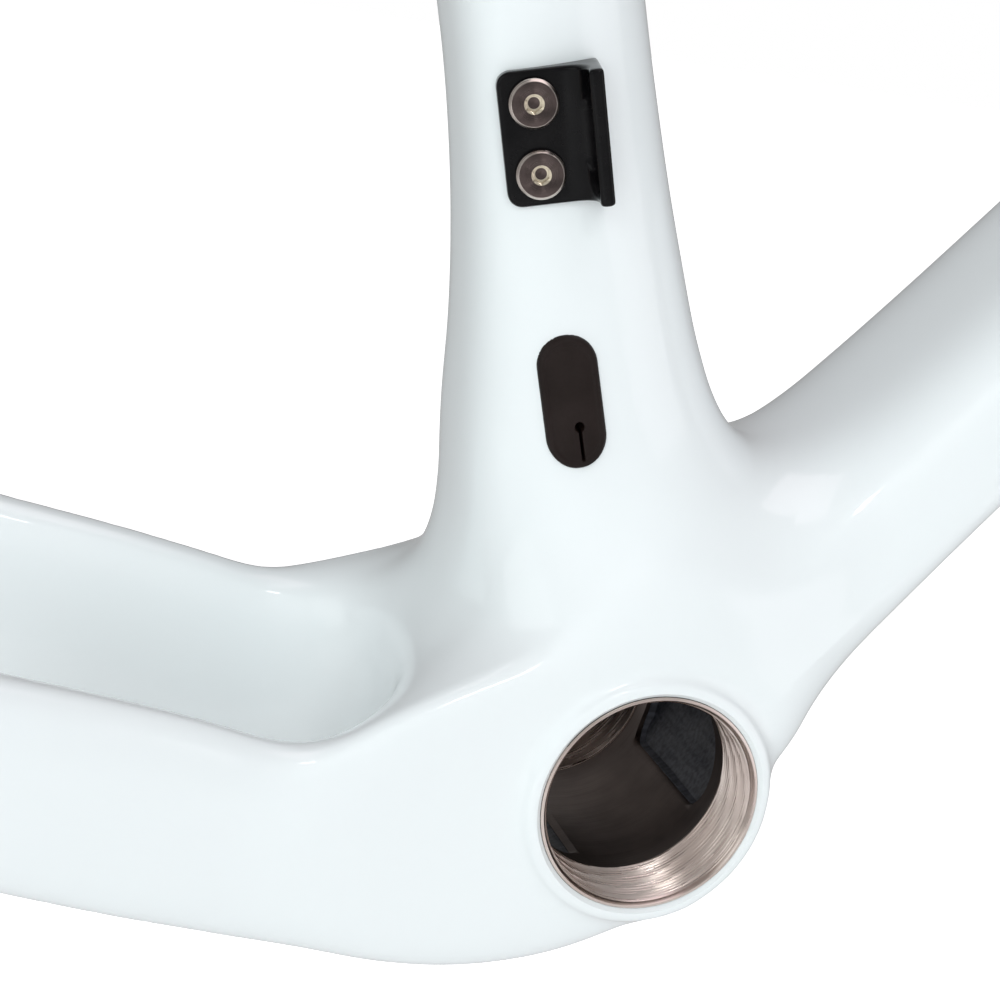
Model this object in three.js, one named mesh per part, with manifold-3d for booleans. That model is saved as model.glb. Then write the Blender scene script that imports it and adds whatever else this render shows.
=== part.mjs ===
// Bottom bracket junction of a moulded carbon bicycle frame, in millimetres.
// +X points to the front of the bicycle, +Y to its non-drive (left) side and +Z up.
// The origin is the centre of the bottom bracket shell, and the shell's axis is the Y axis.
import * as THREE from 'three';
import { mergeVertices } from 'three/addons/utils/BufferGeometryUtils.js';
import Module from 'manifold-3d';

const wasm = await Module();
wasm.setup();

// ---------------------------------------------------------------- driving dimensions
const SHELL_WIDTH = 86;
const SLEEVE_R = 24.6;            // outside of the aluminium sleeve
const THREAD_R = 23.25;           // middle of the 47 mm thread's flanks
const THREAD_DEPTH = 17.2;        // from each face
const RELIEF_R = 23.6;            // plain bore between the two threads
const MOUTH_CHAMFER = 0.7;
const COLLAR_R = 26.9;            // outside of the carbon collar round the sleeve
const GAP = 0.3;                  // left between pieces that touch
const WALL = 2.8;                 // carbon wall
const LAP_WALL = 1.2;             // lap sleeves bonded inside the seams
const BOND_LINE = 1.2;            // adhesive between a lap sleeve and the walls
const LAP_LENGTH = 24;
const SKIN_STEP = 4.5;            // grid of the moulded surfaces
const SKIN_TOLERANCE = 0.5;       // facets may leave the true surface by this much
const LAP_STEP = 4;               // and the same two for the laps, whose hollows are narrower
const LAP_TOLERANCE = 0.3;
const SLIVER = 0.02;              // booleans leave no facets thinner than this
const ROUND = 64;                 // segments of the large circles

const SEAT_ANGLE = 73.6;          // degrees above the horizontal, leaning back
const DOWN_ANGLE = 50;
const SEAT_SEAM = 114;            // distances of the seams and of the cut ends along each tube
const SEAT_END = 182;
const DOWN_SEAM = 94;
const DOWN_END = 170;
const STAY_SEAM = 104;
const STAY_END = 162;

// Each tube is a row of superellipse sections:
// [distance along, offset of the centre, half height, half width, exponent].
const SEAT_SECTIONS = [
  [0, -6, 20, 39, 2.6], [20, -5, 22, 38.5, 2.6], [45, 0, 27, 34, 2.5], [65, 2.6, 29.2, 29.2, 2.4],
  [83, 3.4, 29.2, 26, 2.3], [100, 3.8, 27.6, 23.2, 2.2], [123, 3.8, 25.7, 20.7, 2.2],
  [145, 3.7, 24.6, 19.5, 2.2], [190, 3.3, 23.8, 19, 2.2],
];
const DOWN_SECTIONS = [
  [0, 0, 18, 32, 2.3], [20, 0, 19, 34, 2.5], [40, 1, 18.6, 35, 3], [60, 1.6, 18, 35.5, 3.4],
  [80, 1.7, 17, 34.5, 3.7], [105, 1.4, 16.3, 33.5, 3.8], [180, 1.4, 16.3, 31.5, 3.8],
];
const DOWN_TAPER = 0.14;          // its top is narrower than its middle by this share, its bottom wider
// Each chain stay: [distance back, top, bottom, sideways centre, half width].
// The drive-side stay runs lower, clear of the chainrings.
const DRIVE_STAY = [
  [-6, 8, -24, 28, 11], [20, 7, -32.5, 29, 12], [45, 4, -38.5, 30, 11.5], [70, 6.2, -39.3, 32.5, 10],
  [100, 13.5, -33.3, 36, 9], [135, 20.8, -24, 40.5, 9], [172, 28, -13.5, 45.5, 8.5],
];
const NONDRIVE_STAY = [
  [-6, 12, -24, 28, 11], [20, 13, -32.5, 29, 12], [45, 15, -36, 30, 11.5], [70, 21.5, -34, 32.5, 10],
  [100, 27.2, -29.5, 36, 9], [135, 32.5, -21, 40.5, 9], [172, 39.3, -10.5, 45.5, 8.5],
];
const STAY_EXPONENT = 2.6;

// ---------------------------------------------------------------- materials
function material(color, roughness, metalness) {
  return new THREE.MeshStandardMaterial({ color, roughness, metalness });
}
const paint = () => material(0xe9f1f4, 0.15, 0);
const bareCarbon = () => material(0x1b1c1e, 0.5, 0);
const machinedAluminium = () => material(0xc9bfb4, 0.3, 1);
const blackAnodised = () => material(0x0b0b0c, 0.25, 0.6);
const boltSteel = () => material(0x8b7c72, 0.3, 1);
const rubber = () => material(0x14110f, 0.7, 0);

// ---------------------------------------------------------------- solids
function solid(geometry, matrix = new THREE.Matrix4()) {
  const bare = geometry.clone().applyMatrix4(matrix);
  bare.deleteAttribute('normal');
  bare.deleteAttribute('uv');
  const merged = mergeVertices(bare, 1e-4);
  return new wasm.Manifold(new wasm.Mesh({
    numProp: 3,
    vertProperties: new Float32Array(merged.attributes.position.array),
    triVerts: new Uint32Array(merged.index.array),
  }));
}

function mesh(name, body, look) {
  const { vertProperties, triVerts } = body.asOriginal().simplify(SLIVER).getMesh();
  const geometry = new THREE.BufferGeometry();
  geometry.setAttribute('position', new THREE.BufferAttribute(new Float32Array(vertProperties), 3));
  geometry.setIndex(new THREE.BufferAttribute(new Uint32Array(triVerts), 1));
  const part = new THREE.Mesh(geometry, look);
  part.name = name;
  return part;
}

const move = (x, y, z) => new THREE.Matrix4().makeTranslation(x, y, z);

function block(width, depth, height, x, y, z) {
  return solid(new THREE.BoxGeometry(width, depth, height), move(x, y, z));
}

// A turned solid about the Y axis. The points are [radius, y], counterclockwise.
function turned(points, segments = ROUND) {
  const profile = points.map(([r, y]) => new THREE.Vector2(r, y));
  profile.push(profile[0].clone());
  return solid(new THREE.LatheGeometry(profile, segments));
}

const ring = (inner, outer, from, to, segments) =>
  turned([[inner, from], [outer, from], [outer, to], [inner, to]], segments);

// A rounded rectangle of X by Z, extruded along Y between two depths.
function roundedPrism(width, height, corner, from, to, matrix = new THREE.Matrix4()) {
  const w = width / 2;
  const h = height / 2;
  const shape = new THREE.Shape();
  shape.moveTo(-w + corner, -h);
  shape.lineTo(w - corner, -h);
  shape.absarc(w - corner, -h + corner, corner, -Math.PI / 2, 0);
  shape.absarc(w - corner, h - corner, corner, 0, Math.PI / 2);
  shape.absarc(-w + corner, h - corner, corner, Math.PI / 2, Math.PI);
  shape.absarc(-w + corner, -h + corner, corner, Math.PI, 1.5 * Math.PI);
  return extrudeAlongY(shape, from, to, matrix);
}

function extrudeAlongY(shape, from, to, matrix = new THREE.Matrix4()) {
  const depth = to - from;
  const geometry = new THREE.ExtrudeGeometry(shape, { depth, bevelEnabled: false, curveSegments: 5 });
  geometry.rotateX(Math.PI / 2);
  geometry.translate(0, to, 0);
  return solid(geometry, matrix);
}

// ---------------------------------------------------------------- the moulded surface as a distance
const { hypot, abs, max, min, PI } = Math;
const radians = (degrees) => (degrees * PI) / 180;

function smoothMin(a, b, width) {
  const mix = min(max(0.5 + (0.5 * (b - a)) / width, 0), 1);
  return b + (a - b) * mix - width * mix * (1 - mix);
}
const smoothMax = (a, b, width) => -smoothMin(-a, -b, width);

function smoothStep(s) {
  const t = min(max(s, 0), 1);
  return t * t * (3 - 2 * t);
}

// Smooth interpolation of a table of stations, one function for each column.
function curves(rows) {
  const at = rows.map((row) => row[0]);
  return rows[0].slice(1).map((_, column) => {
    const value = rows.map((row) => row[column + 1]);
    const slope = value.map((v, i) => {
      if (i === 0) return (value[1] - v) / (at[1] - at[0]);
      if (i === at.length - 1) return (v - value[i - 1]) / (at[i] - at[i - 1]);
      const before = at[i] - at[i - 1];
      const after = at[i + 1] - at[i];
      const rise = before ** 2 * value[i + 1] + (after ** 2 - before ** 2) * v - after ** 2 * value[i - 1];
      return rise / (before * after * (before + after));
    });
    return (t) => {
      let i = 0;
      while (i < at.length - 2 && t > at[i + 1]) i += 1;
      const span = at[i + 1] - at[i];
      const s = min(max((t - at[i]) / span, 0), 1);
      const start = (1 + 2 * s) * (1 - s) ** 2 * value[i] + s * (1 - s) ** 2 * span * slope[i];
      return start + s ** 2 * (3 - 2 * s) * value[i + 1] + s ** 2 * (s - 1) * span * slope[i + 1];
    };
  });
}

// First-order distance to a superellipse.
function sectionDistance(u, v, halfU, halfV, exponent) {
  const x = abs(u) / halfU;
  const y = abs(v) / halfV;
  const size = max((x ** exponent + y ** exponent) ** (1 / exponent), 1e-6);
  const slope = hypot(x ** (exponent - 1) / halfU, y ** (exponent - 1) / halfV) * size ** (1 - exponent);
  return (size - 1) / slope;
}

// A main tube in the XZ plane: its direction leans back (lean -1) or forward (lean 1).
function mainTube(angle, lean, rows, taper) {
  const along = new THREE.Vector3(lean * Math.cos(radians(angle)), 0, Math.sin(radians(angle)));
  const across = new THREE.Vector3(-lean * along.z, 0, abs(along.x));
  const [offset, halfHeight, halfWidth, exponent] = curves(rows);
  const distance = (x, y, z) => {
    const t = x * along.x + z * along.z;
    const u = x * across.x + z * across.z - offset(t);
    const narrowing = taper * smoothStep((t - 30) / 50) * min(max(u / halfHeight(t), -1), 1);
    const width = halfWidth(t) * (1 - narrowing);
    return max(sectionDistance(u, y, halfHeight(t), width, exponent(t)), -t);
  };
  return { along, across, offset, halfHeight, distance };
}

const seatTube = mainTube(SEAT_ANGLE, -1, SEAT_SECTIONS, 0);
const downTube = mainTube(DOWN_ANGLE, 1, DOWN_SECTIONS, DOWN_TAPER);

function chainStay(side, rows) {
  const [top, bottom, centre, halfWidth] = curves(rows);
  return (x, y, z) => {
    const height = top(-x) - bottom(-x);
    const u = z - (top(-x) + bottom(-x)) / 2;
    const v = side * y - centre(-x);
    return max(sectionDistance(u, v, height / 2, halfWidth(-x), STAY_EXPONENT), rows[0][0] + x);
  };
}

const driveStay = chainStay(-1, DRIVE_STAY);
const nondriveStay = chainStay(1, NONDRIVE_STAY);

// Negative inside the painted surface, without the two turned collars.
function skinDistance(x, y, z) {
  let d = smoothMin(seatTube.distance(x, y, z), downTube.distance(x, y, z), 43);
  const belly = smoothMax(hypot((x + 28) / 1.3, z + 9) - 27.5, abs(y) - 39, 8);
  d = smoothMin(d, belly, 16);
  const wheel = hypot(x + 348, z - 66) - 299;
  d = smoothMax(d, -smoothMax(wheel, abs(y) - 22.5, 24), 12);
  const rising = smoothStep((x + 85) / 50) * smoothStep((z + 12) / 30);
  d = smoothMin(d, driveStay(x, y, z), 24 + 28 * rising);
  d = smoothMin(d, nondriveStay(x, y, z), 24 + 21 * rising);
  const wheelAtRoot = wheel + 12 * smoothStep(z / 35);
  d = smoothMax(d, -smoothMax(wheelAtRoot, abs(y) - 22.5, 24), 22);
  d = smoothMin(d, smoothMax(hypot(x, z) - 26.3, abs(y) - 43, 2), 6);
  const flank = 41.5 + 0.13 * smoothMax(0, -x - 60, 30);
  return smoothMax(d, abs(y) - flank, 5);
}

// ---------------------------------------------------------------- surface nets
// A closed, outward-facing mesh of distance(x, y, z) = 0 inside a box.
function surfaceNet(distance, low, high, step) {
  const count = low.map((from, k) => Math.ceil((high[k] - from) / step) + 1);
  const [nx, ny, nz] = count;
  const id = (i, j, k) => (i * ny + j) * nz + k;
  const value = new Float64Array(nx * ny * nz);
  for (let i = 0; i < nx; i += 1) {
    for (let j = 0; j < ny; j += 1) {
      for (let k = 0; k < nz; k += 1) {
        value[id(i, j, k)] = distance(low[0] + i * step, low[1] + j * step, low[2] + k * step);
      }
    }
  }
  const inside = (n) => value[n] < 0;

  const cellVertex = new Int32Array(nx * ny * nz).fill(-1);
  const positions = [];
  const corner = [0, 1, 2, 3, 4, 5, 6, 7].map((c) => [c & 1, (c >> 1) & 1, c >> 2]);
  const edges = [];
  corner.forEach((a, ia) => [1, 2, 4].forEach((bit) => {
    if (!(ia & bit)) edges.push([a, corner[ia | bit]]);
  }));
  for (let i = 0; i < nx - 1; i += 1) {
    for (let j = 0; j < ny - 1; j += 1) {
      for (let k = 0; k < nz - 1; k += 1) {
        const sum = [0, 0, 0];
        let crossings = 0;
        for (const [a, b] of edges) {
          const va = value[id(i + a[0], j + a[1], k + a[2])];
          const vb = value[id(i + b[0], j + b[1], k + b[2])];
          if (va < 0 !== vb < 0) {
            const s = va / (va - vb);
            [i, j, k].forEach((base, axis) => {
              sum[axis] += base + a[axis] + s * (b[axis] - a[axis]);
            });
            crossings += 1;
          }
        }
        if (crossings > 0) {
          cellVertex[id(i, j, k)] = positions.length / 3;
          positions.push(...sum.map((total, axis) => low[axis] + (total / crossings) * step));
        }
      }
    }
  }
  settle(positions, distance, step / 2);

  const triangles = [];
  const quad = (a, b, c, d, flip) => {
    const [p, q, r, s] = flip ? [d, c, b, a] : [a, b, c, d];
    triangles.push(p, q, r, p, r, s);
  };
  for (let i = 1; i < nx - 1; i += 1) {
    for (let j = 1; j < ny - 1; j += 1) {
      for (let k = 1; k < nz - 1; k += 1) {
        const here = inside(id(i, j, k));
        const v = (di, dj, dk) => cellVertex[id(i - di, j - dj, k - dk)];
        if (here !== inside(id(i + 1, j, k))) quad(v(0, 1, 1), v(0, 0, 1), v(0, 0, 0), v(0, 1, 0), !here);
        if (here !== inside(id(i, j + 1, k))) quad(v(1, 0, 1), v(1, 0, 0), v(0, 0, 0), v(0, 0, 1), !here);
        if (here !== inside(id(i, j, k + 1))) quad(v(1, 1, 0), v(0, 1, 0), v(0, 0, 0), v(1, 0, 0), !here);
      }
    }
  }
  const geometry = new THREE.BufferGeometry();
  geometry.setAttribute('position', new THREE.BufferAttribute(new Float32Array(positions), 3));
  geometry.setIndex(triangles);
  return solid(geometry);
}

// Newton steps that bring each vertex onto the surface.
function settle(positions, distance, reach) {
  const e = 0.05;
  for (let n = 0; n < positions.length; n += 3) {
    for (let pass = 0; pass < 3; pass += 1) {
      const [x, y, z] = positions.slice(n, n + 3);
      const gx = (distance(x + e, y, z) - distance(x - e, y, z)) / (2 * e);
      const gy = (distance(x, y + e, z) - distance(x, y - e, z)) / (2 * e);
      const gz = (distance(x, y, z + e) - distance(x, y, z - e)) / (2 * e);
      const steepness = max(gx * gx + gy * gy + gz * gz, 1e-6);
      const step = -distance(x, y, z) / steepness;
      const limit = min(1, reach / max(abs(step) * Math.sqrt(steepness), 1e-9));
      positions[n] += step * limit * gx;
      positions[n + 1] += step * limit * gy;
      positions[n + 2] += step * limit * gz;
    }
  }
}

// The painted surface moved inwards, closed by caps beyond the cut ends.
function skinInset(depth, step, tolerance) {
  const capped = (x, y, z) => max(skinDistance(x, y, z) + depth, -180 - x, x - 150, z - 196);
  return surfaceNet(capped, [-190, -66, -54], [160, 66, 206], step).simplify(tolerance);
}

// ---------------------------------------------------------------- regions of the frame
const BIG = 500;

// The slab of space between two distances along a direction in the XZ plane.
function slab(along, from, to) {
  const turn = Math.atan2(along.x, along.z);
  const matrix = new THREE.Matrix4().makeRotationY(turn).multiply(move(0, 0, (from + to) / 2));
  return solid(new THREE.BoxGeometry(BIG, BIG, to - from), matrix);
}
const BACK = new THREE.Vector3(-1, 0, 0);
const driveHalf = block(BIG, BIG, BIG, 0, -BIG / 2, 0);
const nondriveHalf = block(BIG, BIG, BIG, 0, BIG / 2, 0);

const lapFrom = (seam) => seam - LAP_LENGTH / 2;
const lapTo = (seam) => seam + LAP_LENGTH / 2;

// ---------------------------------------------------------------- sites on the drive side
// A local frame on the seat tube: X forward round the tube, Y into the wall, Z up the tube.
// The origin is on the painted surface.
function site(t, n, turnDegrees, tiltDegrees) {
  const foot = seatTube.along.clone().multiplyScalar(t).addScaledVector(seatTube.across, n);
  let y = -60;
  for (let pass = 0; pass < 40; pass += 1) y += skinDistance(foot.x, y, foot.z) * 0.8;
  const basis = new THREE.Matrix4().makeBasis(seatTube.across, new THREE.Vector3(0, 1, 0), seatTube.along);
  return move(foot.x, y, foot.z)
    .multiply(basis)
    .multiply(new THREE.Matrix4().makeRotationZ(radians(-turnDegrees)))
    .multiply(new THREE.Matrix4().makeRotationX(radians(tiltDegrees)));
}

const HANGER_T = 141;             // middle of the two bolts, along the seat tube
const BOLT_SPACING = 14.3;
const HANGER_HEIGHT = 27.5;
const BOLT_HEAD_R = 5.1;
const PLATE_FACE = 2.6;           // bolt seat above the painted surface
const TAB_REACH = 11;             // tab tip above the painted surface
const TAB_THICKNESS = 3;
const SLOT_WIDTH = 5.4;           // for the derailleur's 5 mm bolt
const RIVNUT_R = 3.3;
const FLANGE_R = 4.6;
const hangerSite = site(HANGER_T, -3.2, 14, 0);
const boltSites = { upper: BOLT_SPACING / 2, lower: -BOLT_SPACING / 2 };

const GROMMET_T = 86.4;           // middle of the cable port
const PORT_WIDTH = 11.2;
const PORT_HEIGHT = 24.4;
const LIP = 0.8;                  // overlap of the grommet's lip round the port
const LIP_THICKNESS = 1.2;
const grommetSite = site(GROMMET_T, -3.1, 8, 11);

// ---------------------------------------------------------------- carbon parts
function sleeveWindow(middle, halfAngle, length) {
  const width = 2 * RELIEF_R * Math.sin(radians(halfAngle));
  const aim = new THREE.Matrix4().makeRotationY(radians(90 - middle));
  const upright = roundedPrism(width, length, 5, -BIG / 10, -5);
  return upright.transform(aim.multiply(new THREE.Matrix4().makeRotationX(PI / 2)).elements);
}
const windows = sleeveWindow(23, 57, 44).add(sleeveWindow(202, 52, 42));

function carbonPieces() {
  const skin = skinInset(0, SKIN_STEP, SKIN_TOLERANCE);
  const half = SHELL_WIDTH / 2;
  const shellTube = ring(SLEEVE_R + GAP, COLLAR_R, -half, half).subtract(windows);
  const bore = ring(0, SLEEVE_R + GAP, -half - 5, half + 5);
  let walls = skin.subtract(skinInset(WALL, SKIN_STEP, SKIN_TOLERANCE)).subtract(bore).add(shellTube);
  for (const z of Object.values(boltSites)) {
    const hole = ring(0, RIVNUT_R + GAP, -6, 12, 32).add(ring(0, FLANGE_R + GAP, -6, 1.1, 32));
    walls = walls.subtract(hole.transform(hangerSite.clone().multiply(move(0, 0, z)).elements));
  }
  const port = roundedPrism(PORT_WIDTH, PORT_HEIGHT, 5.5, -8, 12);
  walls = walls.subtract(port.transform(grommetSite.elements));

  const lapOutside = WALL + BOND_LINE;
  const lapRing = skinInset(lapOutside, LAP_STEP, LAP_TOLERANCE)
    .subtract(skinInset(lapOutside + LAP_WALL, LAP_STEP, LAP_TOLERANCE));
  const gap = GAP / 2;
  const behind = slab(BACK, STAY_SEAM + gap, STAY_END);
  const crotchX = 30;
  const behindCrotch = slab(BACK, -crotchX, BIG);
  const aheadOfCrotch = slab(BACK, -BIG, -crotchX);
  const seat = slab(seatTube.along, SEAT_SEAM + gap, SEAT_END).intersect(behindCrotch);
  const down = slab(downTube.along, DOWN_SEAM + gap, DOWN_END).intersect(aheadOfCrotch);
  const centre = slab(BACK, -BIG / 2, STAY_SEAM - gap)
    .intersect(slab(seatTube.along, -BIG / 2, SEAT_SEAM - gap))
    .intersect(slab(downTube.along, -BIG / 2, DOWN_SEAM - gap));
  const seatLap = slab(seatTube.along, lapFrom(SEAT_SEAM), lapTo(SEAT_SEAM)).intersect(behindCrotch);
  const downLap = slab(downTube.along, lapFrom(DOWN_SEAM), lapTo(DOWN_SEAM)).intersect(aheadOfCrotch);
  const stayLap = slab(BACK, lapFrom(STAY_SEAM), lapTo(STAY_SEAM));
  return [
    mesh('bb_junction', walls.intersect(centre), paint()),
    mesh('seat_tube', walls.intersect(seat), paint()),
    mesh('down_tube', walls.intersect(down), paint()),
    mesh('chainstay_drive', walls.intersect(behind).intersect(driveHalf), paint()),
    mesh('chainstay_nondrive', walls.intersect(behind).intersect(nondriveHalf), paint()),
    mesh('seat_tube_lap', lapRing.intersect(seatLap), bareCarbon()),
    mesh('down_tube_lap', lapRing.intersect(downLap), bareCarbon()),
    mesh('chainstay_drive_lap', lapRing.intersect(stayLap).intersect(driveHalf), bareCarbon()),
    mesh('chainstay_nondrive_lap', lapRing.intersect(stayLap).intersect(nondriveHalf), bareCarbon()),
  ];
}

// ---------------------------------------------------------------- metal and rubber parts
function threadedSleeve() {
  const half = SHELL_WIDTH / 2;
  const inner = half - THREAD_DEPTH;
  const profile = [
    [SLEEVE_R, -half], [SLEEVE_R, half], [THREAD_R + MOUTH_CHAMFER, half], [THREAD_R, half - MOUTH_CHAMFER],
    [THREAD_R, inner], [RELIEF_R, inner], [RELIEF_R, -inner], [THREAD_R, -inner],
    [THREAD_R, -half + MOUTH_CHAMFER], [THREAD_R + MOUTH_CHAMFER, -half],
  ];
  return mesh('threaded_sleeve', turned(profile).subtract(windows), machinedAluminium());
}

// In the site frame: a plate that follows the tube, and a tab that stands out along its front edge.
function hanger(skin) {
  const back = 3;
  const front = 13.9;
  const rear = -7.4;
  const tabBack = front - TAB_THICKNESS;
  const fillet = 3;
  const plan = new THREE.Shape();
  plan.moveTo(rear, back);
  plan.lineTo(rear, -PLATE_FACE + 1.4);
  plan.quadraticCurveTo(rear, -PLATE_FACE, rear + 1.4, -PLATE_FACE);
  plan.lineTo(tabBack - fillet, -PLATE_FACE);
  plan.absarc(tabBack - fillet, -PLATE_FACE - fillet, fillet, PI / 2, 0, true);
  plan.lineTo(tabBack, -TAB_REACH + 1);
  plan.quadraticCurveTo(tabBack, -TAB_REACH, tabBack + 1, -TAB_REACH);
  plan.lineTo(front - 1, -TAB_REACH);
  plan.quadraticCurveTo(front, -TAB_REACH, front, -TAB_REACH + 1);
  plan.lineTo(front, back);
  const options = { depth: HANGER_HEIGHT, bevelEnabled: false, curveSegments: 5 };
  const height = new THREE.ExtrudeGeometry(plan, options);
  height.translate(0, 0, -HANGER_HEIGHT / 2);
  let body = solid(height).intersect(roundedPrism(40, HANGER_HEIGHT, 3, -20, 5, move(rear + 20, 0, 0)));
  body = body.subtract(skin.transform(hangerSite.clone().invert().elements));
  for (const z of Object.values(boltSites)) {
    const hole = ring(0, 2.7, -20, 20, 32).add(ring(0, FLANGE_R + GAP, -GAP, 5, 32));
    body = body.subtract(hole.transform(move(0, 0, z).elements));
  }
  const slot = roundedPrism(SLOT_WIDTH, 15, SLOT_WIDTH / 2 - 0.1, -9, 9).transform(
    move(front - TAB_THICKNESS / 2, -6.6, 0).multiply(new THREE.Matrix4().makeRotationZ(PI / 2)).elements);
  return mesh('front_derailleur_hanger', body.subtract(slot), blackAnodised());
}

// The screw's axis is local Y and its head faces -Y.
function hangerBolt(name) {
  const seat = -PLATE_FACE - 0.05;
  const top = seat - 1.9;
  const tip = 9.2;
  const body = turned([
    [0, top], [BOLT_HEAD_R - 0.6, top], [BOLT_HEAD_R, top + 0.6], [BOLT_HEAD_R, seat],
    [2.2, seat], [2.2, tip - 0.6], [1.6, tip], [0, tip],
  ], 32);
  const socketR = 3 / Math.sqrt(3);
  const socket = solid(new THREE.CylinderGeometry(socketR, socketR, 3.2, 6), move(0, top, 0));
  return mesh(name, body.subtract(socket), boltSteel());
}

function rivnut(name) {
  const profile = [
    [2.62, 0.1], [FLANGE_R, 0.1], [FLANGE_R, 0.9], [RIVNUT_R, 0.9], [RIVNUT_R, 4.5], [FLANGE_R, 5.1],
    [FLANGE_R, 6.3], [RIVNUT_R, 6.9], [RIVNUT_R, 12], [2.62, 12],
  ];
  return mesh(name, turned(profile, 24), machinedAluminium());
}

function grommet(skinProud, skin) {
  const toSite = grommetSite.clone().invert().elements;
  const plug = roundedPrism(PORT_WIDTH - 2 * GAP, PORT_HEIGHT - 2 * GAP, 5.2, -4, 5);
  const lip = roundedPrism(PORT_WIDTH + 2 * LIP, PORT_HEIGHT + 2 * LIP, 6.2, -6, 3)
    .subtract(skin.transform(toSite));
  const keyhole = ring(0, 1, -8, 8, 16).add(block(0.6, 16, 6.5, 0, 0, -3.4));
  const body = plug.add(lip).intersect(skinProud.transform(toSite));
  return mesh('cable_port_grommet', body.subtract(keyhole.transform(move(0.8, 0, -5).elements)), rubber());
}

// ---------------------------------------------------------------- assembly
function placed(matrix, ...children) {
  const group = new THREE.Group();
  group.applyMatrix4(matrix);
  group.add(...children);
  return group;
}

// The painted surface raised by a height, near the drive side of the seat tube.
const raisedSkin = (height) =>
  surfaceNet((x, y, z) => {
    const outside = max(abs(x + 34) - 36, abs(y + 24) - 20, abs(z - 110) - 60);
    return max(skinDistance(x, y, z) - height, outside);
  }, [-74, -48, 46], [6, 2, 174], 4);

const frame = new THREE.Group();
frame.add(...carbonPieces(), threadedSleeve());
frame.add(placed(grommetSite, grommet(raisedSkin(LIP_THICKNESS), raisedSkin(GAP))));
const hangerGroup = placed(hangerSite, hanger(raisedSkin(GAP)));
for (const [place, z] of Object.entries(boltSites)) {
  const fastener = [hangerBolt(`hanger_bolt_${place}`), rivnut(`hanger_rivnut_${place}`)];
  hangerGroup.add(placed(move(0, 0, z), ...fastener));
}
frame.add(hangerGroup);

export default frame;
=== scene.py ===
"""Looks of a bicycle's bottom bracket junction.

Painted carbon, a threaded sleeve, a derailleur hanger with its bolts and a rubber cable port.
Shapes are worked out in millimetres in the row frame and scaled to metres when a mesh is made.
+X is the front of the bicycle, +Y its non-drive side along the bore, +Z up.
"""

import math

import bmesh
import bpy
import numpy as np
from mathutils import Matrix, Vector


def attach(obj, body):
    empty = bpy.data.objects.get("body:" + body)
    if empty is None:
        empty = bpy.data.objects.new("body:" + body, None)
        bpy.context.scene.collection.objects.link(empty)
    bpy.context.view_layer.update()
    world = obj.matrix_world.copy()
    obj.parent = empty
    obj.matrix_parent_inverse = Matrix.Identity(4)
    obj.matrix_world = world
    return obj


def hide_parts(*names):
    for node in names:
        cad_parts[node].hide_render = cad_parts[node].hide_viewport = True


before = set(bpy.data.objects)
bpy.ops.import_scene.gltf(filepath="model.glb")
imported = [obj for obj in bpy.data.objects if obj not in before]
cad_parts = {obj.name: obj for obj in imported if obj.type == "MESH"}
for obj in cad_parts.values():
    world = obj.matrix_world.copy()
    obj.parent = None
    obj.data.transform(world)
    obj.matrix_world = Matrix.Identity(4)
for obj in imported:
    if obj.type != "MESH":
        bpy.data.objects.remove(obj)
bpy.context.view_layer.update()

MM = 0.001

# ---------------------------------------------------------------- driving dimensions
HALF_SHELL = 43.0
SLEEVE_R = 24.6  # outside of the aluminium sleeve
COLLAR_R = 26.9  # outside of the carbon collar round the sleeve
THREAD_MAJOR_R = 23.5
THREAD_MINOR_R = 22.96
THREAD_PITCH = 1.0
THREAD_DEPTH = 17.2  # from each face
RELIEF_R = 23.6  # plain bore between the two threads
MOUTH_CHAMFER = 0.7
WALL = 2.8  # carbon wall
FAR = 400.0  # beyond the whole part
SKIN_STEP = 1.3
ROUND = 192

SEAT_ANGLE = math.radians(73.6)
DOWN_ANGLE = math.radians(50)
SEAT_SEAM, SEAT_END = 114.0, 182.0
DOWN_SEAM, DOWN_END = 94.0, 170.0
STAY_SEAM, STAY_END = 104.0, 162.0

# Each tube: distance along, offset of the centre, half height, half width, superellipse exponent.
SEAT_SECTIONS = np.array([
    [0, -6, 20, 39, 2.6], [20, -5, 22, 38.5, 2.6], [45, 0, 27, 34, 2.5], [65, 2.6, 29.2, 29.2, 2.4],
    [83, 3.4, 29.2, 26, 2.3], [100, 3.8, 27.6, 23.2, 2.2], [123, 3.8, 25.7, 20.7, 2.2],
    [145, 3.7, 24.6, 19.5, 2.2], [190, 3.3, 23.8, 19, 2.2],
])
DOWN_SECTIONS = np.array([
    [0, 0, 18, 32, 2.3], [20, 0, 19, 34, 2.5], [40, 1, 18.6, 35, 3], [60, 1.6, 18, 35.5, 3.4],
    [80, 1.7, 17, 34.5, 3.7], [105, 1.4, 16.3, 33.5, 3.8], [180, 1.4, 16.3, 31.5, 3.8],
])
DOWN_TAPER = 0.14  # its top is narrower than its middle by this share, and its bottom wider
# Each chain stay: distance back, top, bottom, sideways centre, half width.
DRIVE_STAY = np.array([
    [-6, 8, -24, 28, 11], [20, 7, -32.5, 29, 12], [45, 4, -38.5, 30, 11.5], [70, 6.2, -39.3, 32.5, 10],
    [100, 13.5, -33.3, 36, 9], [135, 20.8, -24, 40.5, 9], [172, 28, -13.5, 45.5, 8.5],
])
NONDRIVE_STAY = np.array([
    [-6, 12, -24, 28, 11], [20, 13, -32.5, 29, 12], [45, 15, -36, 30, 11.5], [70, 21.5, -34, 32.5, 10],
    [100, 27.2, -29.5, 36, 9], [135, 32.5, -21, 40.5, 9], [172, 39.3, -10.5, 45.5, 8.5],
])
STAY_EXPONENT = 2.6

# ---------------------------------------------------------------- the painted surface as a distance


def smooth_min(a, b, width):
    mix = np.clip(0.5 + 0.5 * (b - a) / width, 0, 1)
    return b + (a - b) * mix - width * mix * (1 - mix)


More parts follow.
